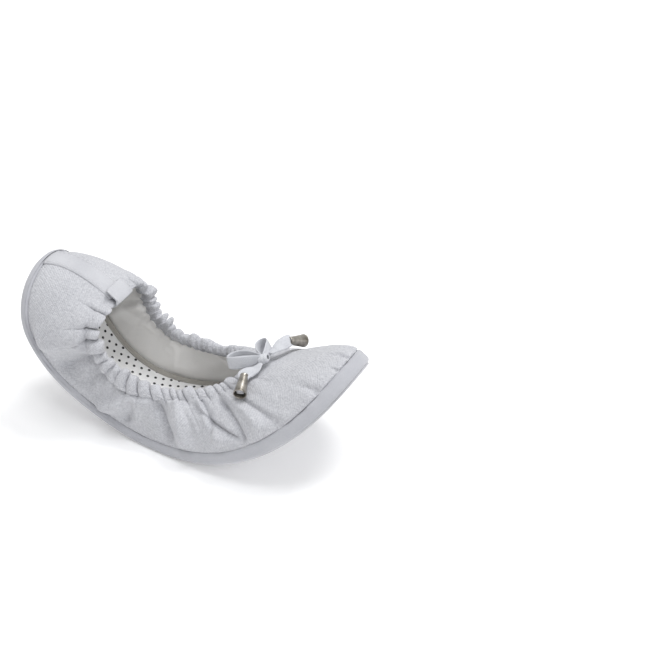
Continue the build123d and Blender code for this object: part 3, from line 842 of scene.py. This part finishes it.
PIPING_PROFILE = [(4.0, 7.1), (4.1, 8.2), (4.7, 8.85), (5.6, 9.05), (6.5, 8.8), (7.0, 8.1), (7.2, 7.3),
                  (5.6, 7.0)]          # inset, height


def make_piping():
    theta = THETA[::2]
    wander = 0.18 * smooth_noise(theta, 0 * theta, 52, 30, 0.0)
    points = np.stack([ring(theta, inset, height + wander) for inset, height in PIPING_PROFILE], 1)
    return all_round("insole_piping_cord", place(points), "piping", "piping", *halves("insole_piping"))


# ---------------------------------------------------------------- stitches
def stitches(name, centres, lengths, radius, nodes, body=None):
    """One mesh of many short thread capsules, each lying along its own direction."""
    around, beads = 6, 7
    centres, lengths = np.asarray(centres), np.asarray(lengths)
    axis = unit(lengths)
    side = unit(np.cross(axis, [0.3, 0.2, 0.9]))
    angle = np.linspace(0, 2 * math.pi, around, endpoint=False)[None, :, None]
    spokes = side[:, None] * np.cos(angle) + np.cross(axis, side)[:, None] * np.sin(angle)
    x = np.linspace(-1, 1, beads)[None, :, None, None]
    thick = radius * np.sqrt(np.maximum(1 - np.abs(x) ** 3, 0.02))
    points = centres[:, None, None] + lengths[:, None, None] * x / 2 + spokes[:, None] * thick
    points = points.reshape(-1, 3)
    first = np.arange(len(centres))[:, None] * beads * around
    sides = first[:, None] + grid_faces(beads, around, False, True)[0]
    ring_of = np.arange(around)
    caps = np.concatenate([first + ring_of[::-1], first + (beads - 1) * around + ring_of])
    corners = np.concatenate([sides.ravel(), caps.ravel()])
    faces = sides.reshape(-1, 4).tolist() + caps.tolist()
    piece = outward(mesh_object(name, points, faces, points[corners][:, [0, 2]] * 100))
    dress(piece, "thread", "thread", *nodes)
    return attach(piece, body) if body else across_fold(piece)


def even_thetas(curve, spacing):
    """Angles round the slipper at an even spacing in mm along curve(theta), given in metres."""
    fine = np.linspace(0, 2 * math.pi, 3601)
    step = np.linalg.norm(np.diff(curve(fine), axis=0), axis=-1) * 1000
    run = np.concatenate([[0], np.cumsum(step)])
    count = int(run[-1] / spacing)
    return np.interp(np.arange(count) * run[-1] / count, run, fine)


def make_rim_stitches():
    def curve(theta):
        return place(ring(theta, 0.62, 2.12))
    theta = even_thetas(curve, 3.0)
    along = unit(curve(theta + STEP) - curve(theta - STEP)) * 0.0021
    return stitches("rim_stitches", curve(theta), along, 0.00028, halves("sole_stitching"))


def make_casing_stitches():
    def curve(theta):
        origin, up, out = casing_frame(theta)
        wave = GATHERS.wave(theta, np.full_like(theta, 7.4))
        return place(origin + up * -7.4 + out * (0.25 + wave + 0.25 * np.maximum(wave, 0))[:, None])
    theta = even_thetas(curve, 3.2)
    theta = theta[from_heel(theta) > 16]
    along = unit(curve(theta + 0.006) - curve(theta - 0.006)) * 0.0019
    return stitches("casing_stitches", curve(theta), along, 0.00024, halves("casing_stitching"))


# ---------------------------------------------------------------- heel trims
HEEL_SWAY = float(sway(np.array(-110.0)))
STRIP_HALF, STRIP_SEAM = 6.25, 1.2
STRIP_TOP = float(below_casing(np.array([math.pi]))[0])


def strip_base(t, v):
    """The upper's face and outward direction at lateral place t near the heel."""
    low = np.full(np.broadcast(t, v).shape, math.radians(130))
    high = np.full(low.shape, math.radians(230))
    for _ in range(30):
        middle = (low + high) / 2
        beyond = upper_point(middle, v)[..., 1] > t
        low, high = np.where(beyond, middle, low), np.where(beyond, high, middle)
    return upper_point(low, v), upper_normal(low, v)


def make_back_strip():
    t = np.linspace(-STRIP_HALF, STRIP_HALF, 28)[:, None]
    base, normal = strip_base(t, np.linspace(0.004, STRIP_TOP, 60)[None, :])
    seam = np.exp(-((np.abs(t) - STRIP_HALF + STRIP_SEAM) / 0.35) ** 2)
    edge = 1 - np.exp(-((STRIP_HALF - np.abs(t)) / 0.35))
    outer = base + normal * (0.35 + 0.75 * edge - 0.22 * seam)[..., None]
    under = base + normal * 0.12
    points = np.concatenate([outer, under[:, ::-1]], 1)
    piece = outward(grid_object("back_strip_tape", place(points), wrap_cols=True, caps=True))
    dress(piece, "tape", "tape", "back_strip")
    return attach(piece, HEEL_BODY)


def make_strip_stitches():
    v = np.tile(np.linspace(0.05, STRIP_TOP - 0.03, 17), 2)
    t = np.repeat([-1, 1], 17) * (STRIP_HALF - STRIP_SEAM)
    base, normal = strip_base(t, v)
    along = unit(place(strip_base(t, v + 0.01)[0]) - place(base)) * 0.0018
    return stitches("back_strip_stitches", place(base + normal * 0.98), along, 0.00022,
                    ("back_strip_stitching",), HEEL_BODY)


TAB_HALF, FACET_HALF, FACET_ANGLE = 7.6, 7.25, 0.145
# Section of the tab: (mm up from the foot opening, mm out from the upper's face).
TAB_OUTER = [(-17.6, 1.2), (-17.2, 1.9), (-11.0, 2.8), (-6.0, 3.2), (-3.0, 3.1), (-0.4, 2.6), (1.3, 1.0),
             (1.8, -0.9), (1.2, -3.0), (-0.8, -4.2), (-4.0, -4.5), (-8.0, -4.4), (-8.9, -4.0)]
TAB_INNER = [(-8.7, -3.7), (-7.5, -3.7), (-4.0, -3.75), (-1.0, -3.45), (0.5, -2.5), (1.1, -0.9), (0.7, 0.6),
             (-0.8, 1.9), (-3.0, 2.3), (-6.0, 2.4), (-11.0, 2.0), (-16.8, 1.2), (-17.4, 1.0)]


def make_heel_tab():
    """A tape folded over the topline; its outer leg stands off at the near end, where it is open."""
    t = np.linspace(-TAB_HALF, TAB_HALF, 40)
    s, _, h = topline(math.pi - FACET_ANGLE * np.clip(t / FACET_HALF, -1, 1))
    origin = np.stack([s, t, h], -1)
    _, up, out = casing_frame(np.array([math.pi]))
    a, b = np.vstack([curve_through(TAB_OUTER, 90), curve_through(TAB_INNER, 60)]).T[:, None, :]
    near_end = ease((-t[:, None] - 4.4) / 2.8)
    b = b + 1.7 * near_end * ease((b + 0.5) / 1.5) * ease((-a - 1.0) / 5.0)
    points = origin[:, None] + up[:, None] * a[..., None] + out[:, None] * b[..., None]
    points[..., 1] = t[:, None] + HEEL_SWAY - sway(points[..., 0])
    piece = outward(grid_object("heel_tab_tape", place(points), wrap_cols=True, caps=True))
    dress(piece, "tape", "tape", "heel_tab")
    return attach(piece, HEEL_BODY)


# ---------------------------------------------------------------- bow
def on_vamp(degrees, v, height):
    """A point in metres this many mm over the upper's face."""
    theta = np.array(math.radians(degrees))
    return place(upper_point(theta, v) + upper_normal(theta, v) * height)


KNOT = on_vamp(-2.4, 0.85, 4.2)
VAMP_UP = unit(KNOT - on_vamp(-2.4, 0.85, 0))
RIBBON_THICKNESS = 0.0007


def ribbon_mesh(name, route, widths, ups, thickness, samples, cup=0.0):
    """A woven ribbon along a smooth route, with a width, a thickness and a face direction per point."""
    line = curve_through(route, samples)
    stops, even = np.linspace(0, 1, len(route)), np.linspace(0, 1, samples)
    up = unit(np.stack([np.interp(even, stops, column) for column in np.transpose(ups)], -1))
    width = np.interp(even, stops, widths)[:, None]
    thick = np.interp(even, stops, thickness)[:, None]
    along = unit(np.gradient(line, axis=0))
    side = unit(np.cross(along, up))
    up = unit(np.cross(side, along))
    across = np.linspace(-1, 1, 14)
    faces = []
    for sign in (1, -1):
        x = sign * across[None, :]
        edge = np.sqrt(np.clip(1 - np.abs(x) ** 6, 0.04, 1))
        ribs = 0.00009 * np.cos(x * math.pi * 5) * edge
        rise = sign * (thick / 2 * edge + ribs) + cup * width * (1 - x ** 2)
        spread = side[:, None] * (x * width / 2)[..., None]
        faces.append(line[:, None] + spread + up[:, None] * rise[..., None])
    return outward(grid_object(name, np.concatenate(faces, 1), wrap_cols=True, caps=True))


LOOP_WIDTHS = [0.0034, 0.0052, 0.0064, 0.0068, 0.0066, 0.0064, 0.0066, 0.0068, 0.0064, 0.0050, 0.0034]
LOOP_OUT = [(0.25, 0.55), (0.5, 0.92), (0.78, 1.0), (0.95, 0.62)]       # shares of the length and half width
LOOP_BACK = [(0.93, -0.66), (0.74, -1.0), (0.48, -0.85), (0.24, -0.5)]
LOOP_LIFT, LOOP_START = 0.0006, (0.0012, 0.0006)


def make_loop(side_name, target, belly, tilt, beside_tail):
    """A loop of ribbon standing on its edge, drop-shaped from the knot and back."""
    along = unit(target)
    side = unit(np.cross(VAMP_UP, along))
    up = unit(np.cross(along, side))
    length, half = np.linalg.norm(target), belly / 2
    start, off = LOOP_START
    shape = [(start, off)] + [(x * length, y * half * beside_tail) for x, y in LOOP_OUT] + [(length, 0.0)]
    shape += [(x * length, y * half) for x, y in LOOP_BACK] + [(start, -off)]
    route = np.array([KNOT + along * x + side * y + up * (LOOP_LIFT + tilt * x / length) for x, y in shape])
    ups = [unit(np.cross(up, direction)) for direction in np.gradient(route, axis=0)]
    thickness = np.full(len(route), RIBBON_THICKNESS)
    piece = ribbon_mesh("bow_loop_%s_ribbon" % side_name, route, LOOP_WIDTHS, ups, thickness, 150)
    dress(piece, "ribbon", "ribbon", "bow_loop_" + side_name)
    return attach(piece, FORE)


KNOT_DIRECTION, KNOT_HALF_LENGTH = np.array([1, 0.25, 0.38]), 0.0026


def make_knot():
    """The ribbon wrapped once round the middle of the bow, pinched at its edges."""
    forward = unit(KNOT_DIRECTION - VAMP_UP * float(np.dot(KNOT_DIRECTION, VAMP_UP)))
    side = np.cross(VAMP_UP, forward)
    angle = np.linspace(0, 2 * math.pi, 56, endpoint=False)
    x = np.linspace(-1, 1, 22)
    sideways = np.cos(angle) * 0.0029 * (1 + 0.05 * np.cos(3 * angle))
    upwards = np.sin(angle) * 0.0024 * (1 + 0.06 * np.sin(2 * angle))
    belly = 0.62 + 0.38 * np.sqrt(np.clip(1 - x ** 2, 0, 1))
    size = (belly * (1 - 0.07 * np.abs(np.sin(x * math.pi * 1.5 + 0.4))))[None, :, None]
    length = forward * (KNOT_HALF_LENGTH * x)[None, :, None]
    outer = KNOT + (side * sideways[:, None, None] + VAMP_UP * upwards[:, None, None]) * size + length
    inner = KNOT + (outer - KNOT)[:, ::-1] * 0.72 + length[:, ::-1] * 0.2
    points = np.concatenate([outer, inner], 1)
    piece = outward(grid_object("bow_knot_wrap", points, wrap_rows=True, wrap_cols=True))
    dress(piece, "ribbon", "ribbon", "bow_knot")
    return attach(piece, FORE)


# Section of a cord tip: (mm from its small end, radius in mm), out along the bell and back inside it.
TIP_PROFILE = [
    (0.0, 1.55), (0.0, 1.9), (0.25, 2.06), (0.9, 2.1), (1.25, 1.98), (1.6, 2.1), (4.5, 2.35), (8.0, 2.72),
    (10.8, 3.02), (11.6, 3.08), (11.9, 3.24), (12.3, 3.3), (12.5, 3.14), (12.45, 2.86), (11.8, 2.7),
    (8.0, 2.3), (4.0, 1.95), (1.0, 1.6),
]


def make_tip(side_name, start, direction, body):
    """A hollow bell-shaped cord tip: rolled lip, thin wall, crimp groove near its small end."""
    side = unit(np.cross(direction, VAMP_UP))
    angle = np.linspace(0, 2 * math.pi, 56, endpoint=False)[:, None]
    around = side * np.cos(angle) + np.cross(direction, side) * np.sin(angle)
    profile = np.array(TIP_PROFILE) / 1000
    ahead = np.roll(profile, -1, 0)
    softened = np.stack([profile * 0.75 + ahead * 0.25, profile * 0.25 + ahead * 0.75], 1).reshape(-1, 2)
    rows = [start + direction * x + around * radius for x, radius in softened]
    name = "cord_tip_" + side_name
    piece = outward(grid_object(name + "_bell", np.array(rows), wrap_rows=True, wrap_cols=True))
    dress(piece, "metal", "metal", name)
    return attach(piece, body)


TAIL_WIDTHS = [0.0034, 0.0055, 0.0066, 0.0066, 0.0039, 0.0030, 0.0038]
TAIL_THICKNESS = [0.0009, 0.0008, 0.0007, 0.0007, 0.0016, 0.0024, 0.0034]


def make_tail(side_name, first, middle, start, direction, face, body):
    """A ribbon tail from the knot into its metal tip, rolled to a cord where the tip grips it."""
    root = KNOT + (first - KNOT) * 0.80
    mouth, inside, last = [start + direction * reach for reach in (-0.0006, 0.0015, 0.0108)]
    route = np.array([root, first * 0.5 + middle * 0.5, middle, middle * 0.45 + mouth * 0.55,
                      mouth, inside, last])
    turned = unit(VAMP_UP * 0.4 + np.array(face))
    ups = [VAMP_UP, unit(VAMP_UP + turned)] + [turned] * 5
    name = "bow_tail_" + side_name
    piece = ribbon_mesh(name + "_ribbon", route, TAIL_WIDTHS, ups, TAIL_THICKNESS, 90, cup=0.06)
    dress(piece, "ribbon", "ribbon", name)
    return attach(piece, body)


# For each side of the bow: the points (degrees, v, mm over the upper) that its tail passes and that its
# tip starts at and points to, and the way that the tail's face looks.
TAILS = {
    "near": ([(-9.2, 0.85, 3.3), (-15, 0.86, 2.8), (-26.2, 0.86, 4.0), (-42, 0.67, 3.9)], (0.25, -0.2, 0.3)),
    "far": ([(5.5, 0.82, 4.3), (10, 0.78, 5.4), (20, 0.70, 6.0), (34.4, 0.57, 4.0)], (0.35, -0.75, 0.25)),
}


def make_bow():
    make_loop("near", np.array([-0.0166, -0.0050, -0.0035]), belly=0.0094, tilt=-0.0004, beside_tail=0.5)
    make_loop("far", np.array([-0.0050, 0.0123, -0.0010]), belly=0.0062, tilt=0.0008, beside_tail=1.0)
    make_knot()
    for side, (places, face) in TAILS.items():
        first, middle, start, end = [on_vamp(*spot) for spot in places]
        direction = unit(end - start)
        make_tail(side, first, middle, start, direction, face, "tail_" + side)
        make_tip(side, start, direction, "tail_" + side)


# ---------------------------------------------------------------- stage, light and camera
CAMERA_AZIMUTH, CAMERA_ELEVATION, CAMERA_DISTANCE = 24.576, 30.865, 1.1
CAMERA_LENS = 110.25
CAMERA_TARGET = Vector((0.0351, 0.10983, 0.0)) + Vector(ORIGIN)
FLOOR_HALF = 4.0
LIGHTS = [      # name, azimuth, elevation, distance, size, power, color
    ("key", 150, 66, 1.6, 0.75, 12.0, (1, 1, 1)),
    ("top", 0, 82, 1.8, 0.9, 9.0, (0.97, 0.98, 1.0)),
    ("front", 58, 34, 1.8, 0.55, 5.0, (0.95, 0.97, 1.0)),
]


def aim(item, azimuth, elevation, distance, target=Vector((0, 0, 0))):
    """Put a camera or light this far from its target, looking at it; angles in degrees."""
    a, e = math.radians(azimuth), math.radians(elevation)
    back = Vector((math.sin(a) * math.cos(e), -math.cos(a) * math.cos(e), math.sin(e)))
    item.location = target + back * distance
    item.rotation_euler = (-back).to_track_quat("-Z", "Y").to_euler()


def make_camera():
    data = bpy.data.cameras.new("camera")
    data.lens, data.sensor_width = CAMERA_LENS, 36.0
    data.clip_start, data.clip_end = 0.05, 20.0
    camera = add_to_scene("camera", data)
    aim(camera, CAMERA_AZIMUTH, CAMERA_ELEVATION, CAMERA_DISTANCE, CAMERA_TARGET)
    bpy.context.scene.camera = camera


def make_lights():
    for name, azimuth, elevation, distance, size, power, color in LIGHTS:
        data = bpy.data.lights.new(name, "AREA")
        data.shape, data.size, data.energy, data.color = "DISK", size, power, color
        aim(add_to_scene(name, data), azimuth, elevation, distance)
    world = bpy.data.worlds.new("studio")
    bpy.context.scene.world = world
    world.use_nodes = True
    background = world.node_tree.nodes["Background"]
    background.inputs["Color"].default_value = (1.0, 1.0, 1.0, 1)
    background.inputs["Strength"].default_value = 0.54
    bpy.context.scene.view_settings.view_transform = "Standard"


def make_floor():
    """Pale paper that glows a little, so that the shadows on it stay light."""
    corners = [(x * FLOOR_HALF, y * FLOOR_HALF, 0) for x, y in ((-1, -1), (1, -1), (1, 1), (-1, 1))]
    floor = mesh_object("floor", corners, [(0, 1, 2, 3)])
    n = Nodes("floor_paper")
    grain = n.noise(n.object(), 30.0, 2.0)
    floor.data.materials.append(n.surface({
        "Base Color": n.ramp(grain, [(0.2, (0.90, 0.90, 0.90)), (0.8, (0.93, 0.93, 0.93))]),
        "Roughness": 0.9, "Specular IOR Level": 0.1,
        "Emission Color": (1, 1, 1, 1), "Emission Strength": 0.16,
    }))


make_camera()
make_materials()
make_floor()
make_lights()
make_sole()
make_rim()
make_piping()
make_upper()
make_lining()
make_counter()
make_elastic()
make_casing()
make_back_strip()
make_strip_stitches()
make_heel_tab()
make_rim_stitches()
make_casing_stitches()
make_bow()
